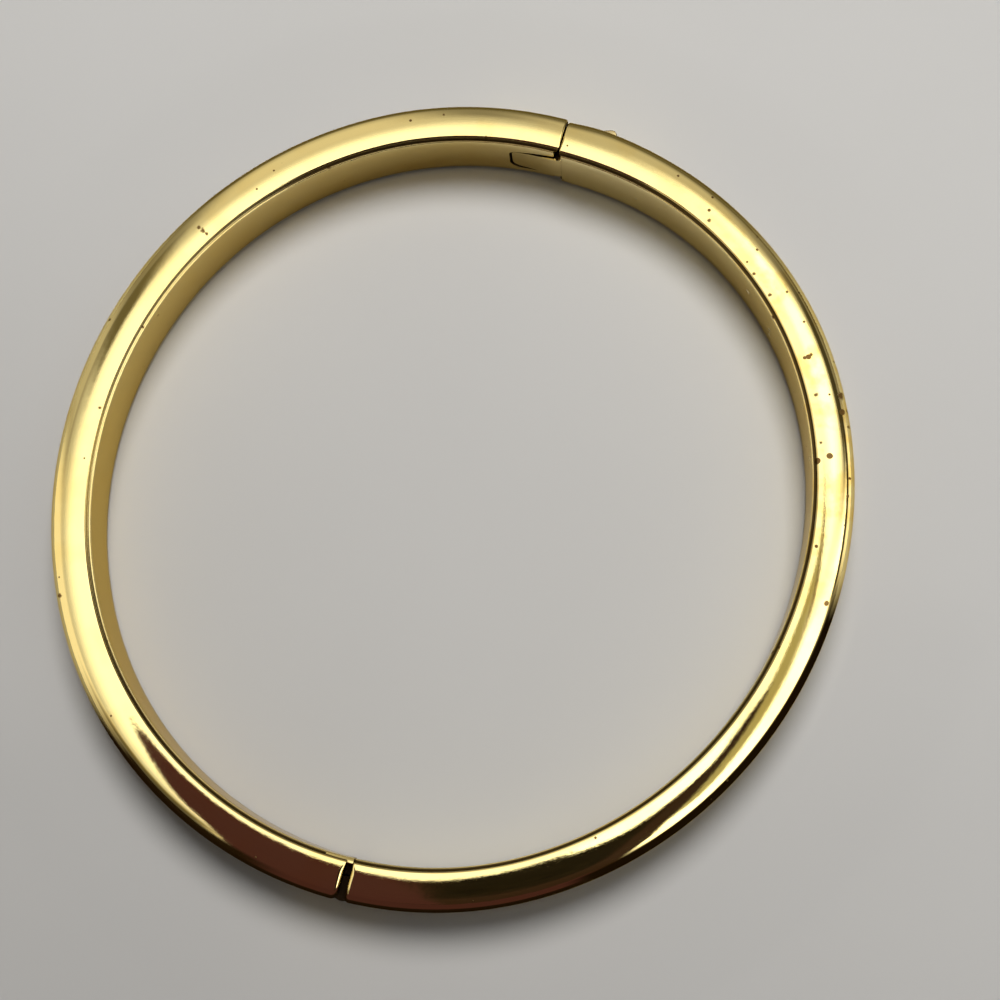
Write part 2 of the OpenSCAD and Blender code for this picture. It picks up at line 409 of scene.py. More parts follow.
def bump(g, strength, deep, height, under=None):
    # deep is in mm
    values = {"Strength": strength, "Distance": deep * mm, "Height": height}
    if under:
        values["Normal"] = under
    return g.add("ShaderNodeBump", {}, values)


def shine(g, values):
    surface = g.add("ShaderNodeBsdfPrincipled", {}, values)
    g.add("ShaderNodeOutputMaterial", values={"Surface": surface})


goldFinish = {
    "colour": (0.90, 0.74, 0.325, 1),
    "warmColour": (0.89, 0.67, 0.23, 1),
    "stainColour": (0.13, 0.06, 0.015, 1),
    "patchColour": (0.84, 0.56, 0.12, 1),
    # dirt and painted shade on the faces that lie in the gaps
    "gapDirtAndShadeColour": (0.020, 0.012, 0.006, 1),
    # painted shade: the inner face is darker on the left
    "wallShadeColour": (0.43, 0.32, 0.15, 1),
    "wallPaleLight": (0.98, 0.92, 0.66, 1),     # painted light: the inner face on the right is paler
    # painted shade in the groove at the inner edge
    "grooveShadeColour": (0.036, 0.015, 0.002, 1),
    "edgeTint": (0.80, 0.66, 0.38, 1),     # at a low angle the metal stays warm
    "roughness": 0.045,
    "buttonColour": (0.66, 0.54, 0.30, 1),
    "buttonRoughness": 0.26,
    "satinMore": 0.05,        # the inner face is a little less bright
    "scratch": 0.04,
    "fine": 0.03,
    "specks": 0.14,           # how large the procedural specks get, mm
    "speckScale": 0.9,
    "meanRadius": 31.0,       # mm, where scratches follow the band
    "scratchLength": 0.12,    # the smaller, the longer they are
}
# noises of the gold: scale per mm, detail, roughness
goldNoise = {
    "tone": (0.22, 3.0, 0.5),
    "hair": (14.0, 3.0, 0.6),
    "fine": (9.0, 4.0, 0.65),
    "blot": (3.2, 4.0, 0.7),
    "patch": (0.55, 3.0, 0.5),
    "specks": (0.45, 1.0, 0.5),
    "uneven": (0.7, 2.0, 0.5),
}
# brown spots that stand out, where they were seen in the photograph, 1000 pixels wide:
# (pixels from the left, pixels from the top, mm across)
photoWide = 1000
rimHeight = 5.9      # mm
stains = (
    (678, 176, 0.12), (709, 221, 0.16), (757, 250, 0.12), (754, 274, 0.14), (770, 295, 0.16),
    (773, 316, 0.14), (787, 292, 0.12), (799, 292, 0.10), (804, 322, 0.12), (811, 355, 0.15),
    (816, 395, 0.18), (841, 395, 0.30), (821, 443, 0.12), (849, 426, 0.14), (850, 478, 0.12),
    (848, 496, 0.14), (199, 228, 0.16), (203, 231, 0.22), (207, 234, 0.14), (444, 115, 0.10),
    (274, 171, 0.10), (486, 137, 0.10), (328, 166, 0.14), (109, 319, 0.12), (142, 326, 0.12),
    (100, 408, 0.14), (59, 595, 0.20),
)
stainsAbove = 5.1    # mm: the spots lie on the top only


def onRim(right, down):
    # where the camera's ray through a pixel meets the height of the rim, in mm
    pixel = view["sensor"] / view["lens"] / photoWide
    ray = Vector(((right - photoWide / 2) * pixel, (photoWide / 2 - down) * pixel, -1))
    ray.rotate(camera.rotation_euler)
    start = Vector(view["place"])
    return start + ray * ((rimHeight - start.z) / ray.z)


def stained(g, place, shape):
    # the spots of the list, each with a ragged edge
    split = g.add("ShaderNodeSeparateXYZ", values={0: place})
    x, y = split, split.out("Y")
    ragged = 0.1 + shape * 1.9
    mask = 0.0
    for right, down, size in stains:
        spot = onRim(right, down)
        across, up = x - spot.x, y - spot.y
        away = g.maths("SQRT", across * across + up * up)
        near = clamped((size * 1.1 * ragged - away) / (size * 0.5))
        mask = atLeast(near, mask)
    return mask * clamped((split.out("Z") - stainsAbove) * 5)


def specked(g, place, turned):
    # small dark specks, most of them on the right of the photograph
    cell = g.add("ShaderNodeTexVoronoi", {}, {"Vector": place, "Scale": goldFinish["speckScale"]})
    size = noise(g, place, *goldNoise["specks"]) - 0.42
    right = eased(1.2 - abs(turned - 0.35) * 1.4)
    return clamped((goldFinish["specks"] * size * (3.0 + 5.0 * right) - cell) * 40.0)


def makeWornAndShaded(g, place, turned, hair, base, rough):
    # stains, warm patches on the right, painted shade in the groove, and the satin inner face with its
    # painted shade and light
    blot = noise(g, place, *goldNoise["blot"])
    stain = atLeast(stained(g, place, blot), specked(g, place, turned))
    onRight = eased(1.5 - abs(turned - 0.5) * 2.0)
    patch = eased((noise(g, place, *goldNoise["patch"]) - 0.46) * 5) * onRight
    base = g.mix(patch * 0.55, base, goldFinish["patchColour"])
    base = g.mix(stain * 0.92, base, goldFinish["stainColour"])
    # painted shade in the groove at the inner edge, faint on the left
    side = g.add("ShaderNodeSeparateXYZ", values={0: place})
    seam = attribute(g, "seam") * (0.35 + 0.6 * eased((side + 29) / 11))
    base = g.mix(seam, base, goldFinish["grooveShadeColour"])
    satin = attribute(g, "satin")
    rough = rough + stain * 0.35 + seam * 0.25 + satin * (goldFinish["satinMore"] + (hair - 0.5) * 0.05)
    # painted shade darkens the inner face on the left, painted light makes it paler on the right
    wall = g.mix(eased((side + 10) / 18), goldFinish["wallShadeColour"], goldFinish["wallPaleLight"])
    return g.mix(satin * 0.6, base, wall), rough


def makeGold(name, colour, roughness, wornAndShaded=True):
    material, g = newMaterial(name)
    place, turned, radius, z = surfacePlace(g)
    along = turned * goldFinish["meanRadius"] * goldFinish["scratchLength"]
    follow = g.add("ShaderNodeCombineXYZ", values={0: along, 1: radius, 2: z})
    tone = noise(g, place, *goldNoise["tone"])
    hair = noise(g, follow, *goldNoise["hair"])
    fine = noise(g, place, *goldNoise["fine"])
    base = g.mix(eased((tone - 0.45) * 4.0) * 0.5, colour, goldFinish["warmColour"])
    rough = roughness + (hair - 0.5) * goldFinish["scratch"] + (fine - 0.5) * goldFinish["fine"]
    if wornAndShaded:
        base, rough = makeWornAndShaded(g, place, turned, hair, base, rough)
    # worn a little uneven, so the edges of the reflections waver
    uneven = bump(g, 0.12, 0.03, noise(g, place, *goldNoise["uneven"]))
    # faces that are not open get dirt and painted shade
    gapDirtAndShade = 1 - attribute(g, "open")
    shine(g, {
        "Base Color": g.mix(gapDirtAndShade, base, goldFinish["gapDirtAndShadeColour"]),
        "Metallic": 1.0,
        "Specular Tint": goldFinish["edgeTint"],
        "Roughness": clamped(rough + gapDirtAndShade * 0.4),
        "Normal": bump(g, 0.10, 0.02, hair, uneven),
    })
    return material


gold = makeGold("polishedGold", goldFinish["colour"], goldFinish["roughness"])
buttonGold = makeGold("buttonGold", goldFinish["buttonColour"], goldFinish["buttonRoughness"], wornAndShaded=False)

enamelFinish = {
    "dark": (0.035, 0.012, 0.006, 1),
    "light": (0.060, 0.022, 0.010, 1),
    "cloud": (0.5, 3.0),      # noises: scale per mm, detail
    "dust": (6.0, 3.0),
    "roughness": 0.09,
    "index": 1.52,
    "coat": 0.4,
}


def makeEnamel():
    material, g = newMaterial("brownEnamel")
    place = surfacePlace(g)[0]
    cloud = noise(g, place, *enamelFinish["cloud"])
    dust = noise(g, place, *enamelFinish["dust"])
    shine(g, {
        "Base Color": g.mix(cloud, enamelFinish["dark"], enamelFinish["light"]),
        "Roughness": enamelFinish["roughness"] + dust * 0.07,
        "IOR": enamelFinish["index"],
        "Coat Weight": enamelFinish["coat"],
        "Normal": bump(g, 0.15, 0.03, cloud),
    })
    return material


enamel = makeEnamel()

steelFinish = {
    "dark": (0.52, 0.51, 0.49, 1),
    "light": (0.66, 0.65, 0.62, 1),
    "grain": (12.0, 3.0),
    "roughness": 0.25,
}


def makeSteel():
    material, g = newMaterial("satinSteel")
    grain = noise(g, surfacePlace(g)[0], *steelFinish["grain"])
    shine(g, {
        "Base Color": g.mix(grain, steelFinish["dark"], steelFinish["light"]),
        "Metallic": 1.0,
        "Roughness": steelFinish["roughness"] + grain * 0.2,
        "Normal": bump(g, 0.2, 0.02, grain),
    })
    return material


steel = makeSteel()
print("stage: finishes made")


# solid shapes and cuts

def meshFrom(name, build, material=gold, bare=0.0, satin=0.0):
    # bare says how far the faces lie open to the light and to polishing (the rest get dirt and painted
    # shade), satin how matt they are and how far they take the inner face's painted shade
    mesh = bpy.data.meshes.new(name)
    bm = bmesh.new()
    build(bm)
    bmesh.ops.remove_doubles(bm, verts=bm.verts, dist=1e-8)
    bmesh.ops.recalc_face_normals(bm, faces=bm.faces)
    bm.to_mesh(mesh)
    bm.free()
    mesh.materials.append(material)
    for mark, value in (("open", bare), ("satin", satin), ("seam", 0.0)):
        values = mesh.attributes.new(mark, "FLOAT", "FACE").data
        values.foreach_set("value", [value] * len(mesh.polygons))
    return newPiece(name, mesh)


def closedPrism(bm, low, top):
    # two rings of corners, closed at both ends
    bm.faces.new(low)
    bm.faces.new(top)
    for i in range(len(low)):
        j = (i + 1) % len(low)
        bm.faces.new((low[i], low[j], top[j], top[i]))


def rod(name, centre, radius, z0, z1, sides=72):
    # an upright rod; the ring has its points on the circle
    def build(bm):
        low = []
        for i in range(sides):
            a = 2 * math.pi * i / sides
            x, y = centre[0] + radius * math.cos(a), centre[1] + radius * math.sin(a)
            low.append(bm.verts.new(Vector((x, y, z0)) * mm))
        closedPrism(bm, low, [bm.verts.new(v.co + Vector((0, 0, z1 - z0)) * mm) for v in low])
    return meshFrom(name, build)


def sliceSolid(name, outlines, bare=0.0, satin=0.0):
    # a solid through slices (x, [(y, z) …]) with the same number of corners each
    def build(bm):
        slices = [[bm.verts.new(Vector((x, y, z)) * mm) for y, z in outline]
                  for x, outline in outlines]
        bm.faces.new(slices[0])
        bm.faces.new(slices[-1])
        for a, b in zip(slices, slices[1:]):
            for i in range(len(a)):
                j = (i + 1) % len(a)
                bm.faces.new((a[i], a[j], b[j], b[i]))
    return meshFrom(name, build, bare=bare, satin=satin)


def stationBlock(name, stations, bare=0.0, satin=0.0):
    # a block built from stations (x, yIn, yOut, zLow, zHigh), each a four-cornered slice
    return sliceSolid(name, [(x, ((yIn, zLow), (yIn, zHigh), (yOut, zHigh), (yOut, zLow)))
                             for x, yIn, yOut, zLow, zHigh in stations], bare, satin)


def carve(piece, tool, operation):
    modifier = piece.modifiers.new(operation, "BOOLEAN")
    modifier.operation, modifier.object, modifier.solver = operation, tool, "EXACT"
    plainMesh(piece)
    mesh = tool.data
    bpy.data.objects.remove(tool)
    bpy.data.meshes.remove(mesh)


def smoothed(piece, angle=32):
    piece.data.shade_smooth()
    piece.data.set_sharp_from_angle(angle=math.radians(angle))
    return piece


# the two halves

halves = {
    "rings": 420,
    "cutX": 0.9,
    "claspGap": 0.1,
    "hingeGap": 0.56,
    "claspEdge": 0.15, "claspCorner": 0.2, "claspInner": 0.42,
    "hingeEdge": 0.3, "notchHingeCorner": 0.6, "tongueHingeCorner": 0.3,
    "stepIn": 0.2,            # the tongue half sits further in at the clasp
    "stepLength": 12.0,
}
claspOff = {side: -(halves["cutX"] + side * halves["claspGap"] / 2 - endCentre[0]) for side in (-1, 1)}
hingeOff = {side: halves["cutX"] + side * halves["hingeGap"] / 2 + endCentre[0] for side in (-1, 1)}

notchHalf = sweepBand("notchHalf", halves["rings"], gold, **{
    "Start turn": 90, "Start off": claspOff[-1],
    "Start edge": halves["claspEdge"], "Start corner": halves["claspCorner"],
    "Start inner": halves["claspInner"],
    "End turn": 270, "End off": hingeOff[-1],
    "End edge": halves["hingeEdge"], "End corner": halves["notchHingeCorner"]})
tongueHalf = sweepBand("tongueHalf", halves["rings"], gold, **{
    "Start turn": -90, "Start off": hingeOff[1],
    "Start edge": halves["hingeEdge"], "Start corner": halves["tongueHingeCorner"],
    "End turn": 90, "End off": claspOff[1],
    "End edge": halves["claspEdge"], "End corner": halves["claspCorner"],
    "End inner": halves["claspInner"] / 2,
    "Step in": halves["stepIn"], "Step length": halves["stepLength"]})
for half in (notchHalf, tongueHalf):
    # the end faces, which meet at the clasp and the hinge, are dark: dirt and painted shade between the parts
    shade = half.data.attributes["open"].data
    for face in half.data.polygons:
        if abs(face.normal.x) > 0.9 and abs(face.center.x / mm - halves["cutX"]) < 0.5:
            shade[face.index].value = 0.0
print("stage: halves swept")

hinge = {
    "pinDepth": 1.0,          # from the outer face
    "knuckleRadius": 0.95, "gap": 0.1, "stackLow": 0.8, "stackHigh": 5.2,
    "middleLow": 2.33, "middleHigh": 3.67,
    "pinHole": 0.45, "pinLow": 0.98, "pinHigh": 5.02,
    "webLong": 1.35, "webOut": 0.38, "webIn": 0.76,    # joins a knuckle to its half
}
pinAt = (halves["cutX"], hingeY(halves["cutX"], bandThick) + hinge["pinDepth"])


def knuckle(name, side, z0, z1):
    piece = rod(name, pinAt, hinge["knuckleRadius"], z0, z1)
    near, far = sorted((pinAt[0], pinAt[0] + side * hinge["webLong"]))
    web = [(x, pinAt[1] - hinge["webOut"], pinAt[1] + hinge["webIn"], z0, z1) for x in (near, far)]
    carve(piece, stationBlock(name + "Web", web), "UNION")
    return piece


# the pockets, knuckles, webs and pin holes here, and the bridge block, notch and slot below, are not open:
# their faces get dirt and painted shade
pocket = hinge["knuckleRadius"] + hinge["gap"]
for half, low, high in ((notchHalf, hinge["stackLow"] - hinge["gap"], hinge["stackHigh"] + hinge["gap"]),
                        (tongueHalf, hinge["middleLow"] - hinge["gap"], hinge["middleHigh"] + hinge["gap"])):
    carve(half, rod("pocket", pinAt, pocket, low, high), "DIFFERENCE")
for half, name, side, low, high in (
        (notchHalf, "middleKnuckle", -1, hinge["middleLow"], hinge["middleHigh"]),
        (tongueHalf, "lowKnuckle", 1, hinge["stackLow"], hinge["middleLow"] - hinge["gap"]),
        (tongueHalf, "highKnuckle", 1, hinge["middleHigh"] + hinge["gap"], hinge["stackHigh"])):
    carve(half, knuckle(name, side, low, high), "UNION")

# the block that bridges the gap next to the inner face, and its top, which slopes to the middle
bridge = {
    "places": (-1.1, -0.6, -0.1, 0.4, 0.9, 1.1),      # x of its slices
    "depths": (0.05, 1.15), "heights": (1.1, 4.9),
    # rows of (depth, height)
    "ridge": ((-0.14, 4.0), (-0.14, 5.48), (-0.11, 5.54), (-0.05, 5.58), (0.24, 5.69), (0.31, 5.68),
              (0.34, 5.62), (0.34, 4.0)),
}
block = [(x, *(hingeY(x, depth) for depth in bridge["depths"]), *bridge["heights"]) for x in bridge["places"]]
carve(notchHalf, stationBlock("bridge", block), "UNION")
ridge = [(x, [(hingeY(x, depth), z) for depth, z in bridge["ridge"]]) for x in bridge["places"]]
carve(notchHalf, sliceSolid("ridge", ridge, 1.0), "UNION")
for half in (notchHalf, tongueHalf):
    carve(half, rod("pinHole", pinAt, hinge["pinHole"], hinge["pinLow"], hinge["pinHigh"]), "DIFFERENCE")

clasp = {
    "tongueLength": 4.0, "tongueThick": 0.9, "zLow": 1.25, "zHigh": 4.6, "zHighTip": 3.85,
    "upperCorner": 0.2, "lowerCorner": 0.9, "gap": 0.2, "proud": 0.06,
    "rootFrom": 0.06, "rootDive": 0.1,     # past the cut, the tongue's root lies inside its half
    "backIn": 0.1, "tongueEnd": 1.4, "notchEnd": 1.6,
    "clearInside": 20.0,      # the notch is cut from here, well inside the opening
}
tipSteps = {"lower": 10, "upper": 8, "straight": 14}


def tongueStations(grow, yIn, yOut, xEnd):
    # slices from the tip to xEnd, with rounded tip corners
    tip = halves["cutX"] - clasp["tongueLength"] - grow
    up, low = clasp["upperCorner"] + grow, clasp["lowerCorner"] + grow
    places = []
    for radius, count, first in ((low, tipSteps["lower"], 0), (up, tipSteps["upper"], 1)):
        places += [tip + radius * (1 - math.cos(math.pi / 2 * i / count)) for i in range(first, count + 1)]
    count = tipSteps["straight"]
    places += [tip + low + (xEnd - tip - low) * i / count for i in range(1, count + 1)]
    rows = []
    for x in sorted(set(round(place, 5) for place in places)):
        def cut(radius):
            left = max(radius - (x - tip), 0.0)
            return radius - math.sqrt(max(radius * radius - left * left, 0.0))
        rise = clamped((x - tip) / clasp["tongueLength"])
        top = clasp["zHighTip"] + (clasp["zHigh"] - clasp["zHighTip"]) * rise
        rows.append((x, yIn(x), yOut(x), clasp["zLow"] - grow + cut(low), top + grow - cut(up)))
    return rows


def tongueIn(x):
    # flush with its own half at the cut, nearly flush with the other half at its tip
    atCut = eased((x - halves["cutX"] + clasp["tongueLength"]) / clasp["tongueLength"])
    atRoot = halves["stepIn"] + liningIn * bandInputs["Inner round"]
    flush = clasp["proud"] + (atRoot - clasp["proud"]) * atCut
    return flush if x < halves["cutX"] + clasp["rootFrom"] else flush - clasp["rootDive"]


tongueRows = tongueStations(0, lambda x: claspY(x, 0) - tongueIn(x),
                            lambda x: claspY(x, clasp["tongueThick"]) - clasp["backIn"],
                            clasp["tongueEnd"])
notchRows = tongueStations(clasp["gap"], lambda x: clasp["clearInside"],
                           lambda x: claspY(x, clasp["tongueThick"] + clasp["gap"]), clasp["notchEnd"])
carve(notchHalf, stationBlock("notch", notchRows), "DIFFERENCE")
# the tongue takes the inner face's painted shade and light
carve(tongueHalf, stationBlock("tongue", tongueRows, 1.0, 1.0), "UNION")

button = {
    "x0": 2.7, "x1": 5.0, "zLow": 1.4, "zHigh": 4.6, "proud": 0.72, "deep": 1.5, "round": 0.45,
    "edge": 0.07, "gap": 0.08, "travel": 0.4,
    "startIn": 0.3,           # its low end starts this far below the outer face
    "trim": 0.02,
    "clearOutside": 36.0,     # the slot is cut from here, outside the band
}
buttonLow = claspY(button["x0"], bandThick) - button["startIn"]
buttonCrest = claspY(button["x1"], bandThick) + button["proud"] - button["trim"]
slotFloor = buttonCrest - button["deep"] - button["travel"] - button["gap"]
slotHeights = (button["zLow"] - button["gap"], button["zHigh"] + button["gap"])
slot = stationBlock("slot", [(x, slotFloor, button["clearOutside"], *slotHeights)
                             for x in (button["x0"] - button["gap"], button["x1"] + button["gap"])])
carve(tongueHalf, slot, "DIFFERENCE")
print("stage: hinge and clasp cut")

inlay = {
    "depth": 2.8, "thick": 0.4, "low": 1.3, "high": 4.7, "gap": 0.03,
    "rings": 320, "recessRings": 300, "recessThick": 1.5,
    "notch": (103.3, 264.6), "tongue": (-82.0, 75.3),   # which way the band faces at the ends
}
inlayEdges = {"Inner round": 0.04, "Outer round": 0.08, "Crown tilt": 2,
              "Start edge": 0.05, "Start corner": 0.1, "End edge": 0.05, "End corner": 0.1}
recessEdges = {"Inner round": 0.03, "Outer round": 0.03, "Crown tilt": 1,
               "Start edge": 0.02, "Start corner": 0.02, "End edge": 0.02, "End corner": 0.02}
slack = math.degrees(inlay["gap"] / 30)
inlays = {}
for half, key in ((notchHalf, "notch"), (tongueHalf, "tongue")):
    start, end = inlay[key]
    step = {"Step in": halves["stepIn"] if key == "tongue" else 0.0, "Step length": halves["stepLength"]}
    recess = sweepBand("recess", inlay["recessRings"], gold, **{
        "Depth": inlay["depth"] - inlay["gap"], "Thickness": inlay["recessThick"],
        "Base": inlay["low"] - inlay["gap"], "Width": inlay["high"] - inlay["low"] + 2 * inlay["gap"],
        "Start turn": start - slack, "End turn": end + slack, **recessEdges, **step})
    carve(half, recess, "DIFFERENCE")
    inlays[key] = sweepBand(key + "HalfEnamel", inlay["rings"], enamel, **{
        "Depth": inlay["depth"], "Thickness": inlay["thick"],
        "Base": inlay["low"], "Width": inlay["high"] - inlay["low"],
        "Start turn": start, "End turn": end, **inlayEdges, **step})
    smoothed(inlays[key], 60)
    smoothed(half)
print("stage: enamel let in")


def makeButton():
    slope = math.atan((buttonCrest - buttonLow) / (button["x1"] - button["x0"]))
    r = button["round"]
    cx = button["x1"] - r
    cy = buttonLow + (cx - button["x0"]) * math.tan(slope) - r / math.cos(slope)
    outline = [(button["x0"], buttonCrest - button["deep"]), (button["x0"], buttonLow)]
    roundSteps = 12
    for i in range(roundSteps + 1):
        a = -slope + (math.pi / 2 + slope) * i / roundSteps
        outline.append((cx + r * math.sin(a), cy + r * math.cos(a)))
    outline.append((button["x1"], buttonCrest - button["deep"]))

    def build(bm):
        low = [bm.verts.new(Vector((x, y, button["zLow"])) * mm) for x, y in outline]
        top = [bm.verts.new(Vector((x, y, button["zHigh"])) * mm) for x, y in outline]
        closedPrism(bm, low, top)
    piece = meshFrom("releaseButton", build, buttonGold, 1.0)
    bevel = piece.modifiers.new("edges", "BEVEL")
    bevel.width, bevel.segments = button["edge"] * mm, 4
    bevel.limit_method, bevel.angle_limit = "ANGLE", math.radians(30)
    return smoothed(plainMesh(piece), 40)


releaseButton = makeButton()
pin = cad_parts["hinge_pin"]
for materialSlot in pin.material_slots:
    materialSlot.material = steel

for piece, node, body, slotName in (
        (notchHalf, "notch_half", "notch_half", "gold"),
        (tongueHalf, "tongue_half", "tongue_half", "gold"),
        (inlays["notch"], "notch_half_enamel", "notch_half", "enamel"),
        (inlays["tongue"], "tongue_half_enamel", "tongue_half", "enamel"),
        (releaseButton, "release_button", "release_button", "gold")):
    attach(piece, body)
    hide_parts(node)
print("stage: pieces placed")


# floor, cards and light

def flat(name, corners, material):
    def build(bm):
        bm.faces.new([bm.verts.new(Vector(c) * mm) for c in corners])
    piece = meshFrom(name, build, material)


floorFinish = {
    "half": 3000,             # mm from the middle to each side
    "dark": (0.575, 0.566, 0.552, 1),
    "light": (0.89, 0.884, 0.867, 1),
    "cloud": (0.02, 3.0),     # noises: scale per mm, detail
    "grain": (3.0, 3.0),
    "roughness": 0.55,
}


def makeFloor():
    # pale and plain, with painted shade: its colour is a little darker towards the bottom left of the
    # photograph
    material, g = newMaterial("paleFloor")
    place = surfacePlace(g)[0]
    split = g.add("ShaderNodeSeparateXYZ", values={0: place})
    lit = eased((split * 0.2 + split.out("Y") * 0.98 + 75) / 130)
    cloud = noise(g, place, *floorFinish["cloud"]) * 0.25 + lit * 0.75
    grain = noise(g, place, *floorFinish["grain"])
    shine(g, {
        "Base Color": g.mix(cloud, floorFinish["dark"], floorFinish["light"]),
        "Roughness": floorFinish["roughness"] + grain * 0.1,
        "Specular IOR Level": 0.25,
        "Normal": bump(g, 0.05, 0.02, grain),
    })
    half = floorFinish["half"]
    flat("floor", [(-half, -half, 0), (half, -half, 0), (half, half, 0), (-half, half, 0)], material)


makeFloor()

# directions as the photograph has them: right and up along the floor
imageTurn = math.radians(view["turn"][2])
imageRight = Vector((math.cos(imageTurn), math.sin(imageTurn), 0))
imageUp = Vector((-math.sin(imageTurn), math.cos(imageTurn), 0))


def staged(right, up, height):
    return imageRight * right + imageUp * up + Vector((0, 0, height))


def glow(name, colour, strength, soft, streaks=0.0):
    # a lit or dark card; soft is the share over which it fades at its start, end, top and bottom,
    # and streaks how uneven it is
    material, g = newMaterial(name)
    split = g.add("ShaderNodeSeparateXYZ", values={0: g.add("ShaderNodeUVMap", {"uv_map": "card"})})
    u, v = split, split.out("Y")
    drawn = g.add("ShaderNodeCombineXYZ", values={0: u * 2.5, 1: v * 10, 2: 0.0})
    uneven = (noise(g, drawn, 3.0, 4.0, 0.65) - 0.5) * streaks + 0.5
    darker, brighter = (tuple(share * c for c in colour) + (1,) for share in (0.2, 1.8))
    shade = g.mix(uneven, darker, brighter)
    surface = g.add("ShaderNodeEmission", {}, {"Color": shade, "Strength": strength})
    if any(soft):
        mask = 1.0
        for inwards, share in zip((u, 1 - u, v, 1 - v), soft):
            if share:
                mask = mask * eased(inwards / share)
        clear = g.add("ShaderNodeBsdfTransparent")
        surface = g.add("ShaderNodeMixShader", {}, {0: mask, 1: clear, 2: surface})
    g.add("ShaderNodeOutputMaterial", values={"Surface": surface})
    return material


def panel(name, place, columns, rows, material):
    # a curved card: place(u, v) gives its points, and its own map keeps u and v
    mesh = bpy.data.meshes.new(name)
    bm = bmesh.new()
    layer = bm.loops.layers.uv.new("card")
    points = [[bm.verts.new(place(i / columns, j / rows) * mm) for j in range(rows + 1)]
              for i in range(columns + 1)]
    for i in range(columns):
        for j in range(rows):
            corners = ((i, j), (i + 1, j), (i + 1, j + 1), (i, j + 1))
            face = bm.faces.new([points[a][b] for a, b in corners])
            for loop, (a, b) in zip(face.loops, corners):
                loop[layer].uv = (a / columns, b / rows)
    bm.to_mesh(mesh)
    bm.free()
    mesh.materials.append(material)
    card = newPiece(name, mesh)
    card.visible_camera = card.visible_diffuse = card.visible_shadow = False


# a round tent of soft boxes and flags, seen only in what shines: directions from right, in
# degrees, then degrees down from straight above
white, cream, umber = (1.0, 0.98, 0.93), (1.0, 0.93, 0.80), (0.30, 0.17, 0.09)
brown, olive = (0.067, 0.025, 0.029), (0.19, 0.165, 0.10)
tent = {
    # name: (from, to, top, bottom, radius mm, colour, strength, softness)
    "surround": (-180, 180, 34, 112, 760, cream, 0.27, (0, 0, 0, 0)),
    "overhead": (-180, 180, 0, 45, 700, white, 1.75, (0, 0, 0, 0.66)),
    "rightBox": (-62, 22, 12, 63, 620, white, 2.9, (0.1, 0.2, 0.15, 0.18)),
    "leftBox": (154, 238, 32, 108, 620, cream, 1.1, (0.15, 0.1, 0.12, 0.1)),
    "leftUpBox": (138, 160, 36, 108, 640, cream, 0.55, (0.4, 0.3, 0.2, 0.1)),
    "rightStrip": (-8, 24, 66, 110, 600, cream, 1.4, (0.3, 0.3, 0.12, 0.05)),
    "upBox": (92, 132, 20, 110, 620, cream, 0.80, (0.35, 0.35, 0.2, 0.75)),
    "upRightBox": (50, 92, 22, 80, 620, cream, 0.60, (0.35, 0.25, 0.15, 0.6)),
    "brightBox": (22, 84, 12, 36, 600, white, 2.7, (0.35, 0.35, 0.3, 0.4)),
    "horizonFlag": (24, 92, 66, 108, 580, olive, 0.8, (0.2, 0.3, 0.4, 0.05)),
    "upperRightFlag": (14, 52, 33, 68, 560, olive, 0.35, (0.3, 0.35, 0.25, 0.2)),
    "rightGap": (-12, 34, 49, 69, 550, olive, 0.3, (0.2, 0.2, 0.25, 0.3)),
    "upperLeftFlag": (126, 148, 26, 52, 560, olive, 0.8, (0.4, 0.4, 0.2, 0.4)),
    "leftFlag": (186, 226, 34, 66, 530, olive, 1.2, (0.4, 0.2, 0.3, 0.3)),
    "lowerLeftFlag": (222, 262, 50, 112, 540, brown, 1.0, (0.25, 0.1, 0.1, 0.05)),
    "lowerFlag": (255, 300, 40, 112, 530, umber, 0.10, (0.08, 0.06, 0.05, 0.05)),
    "lowerRightFlag": (292, 350, 60, 112, 540, umber, 0.10, (0.12, 0.2, 0.15, 0.05)),
}
for name, (start, end, top, bottom, away, colour, strength, soft) in tent.items():
    def onTent(u, v):
        turned = math.radians(start + (end - start) * u)
        down = math.radians(top + (bottom - top) * v)
        return staged(away * math.sin(down) * math.cos(turned), away * math.sin(down) * math.sin(turned),
                      away * math.cos(down))
    columns = max(4, int((end - start) / 4))      # about one for every 4 degrees
    panel(name, onTent, columns, 12, glow(name, colour, strength, soft))

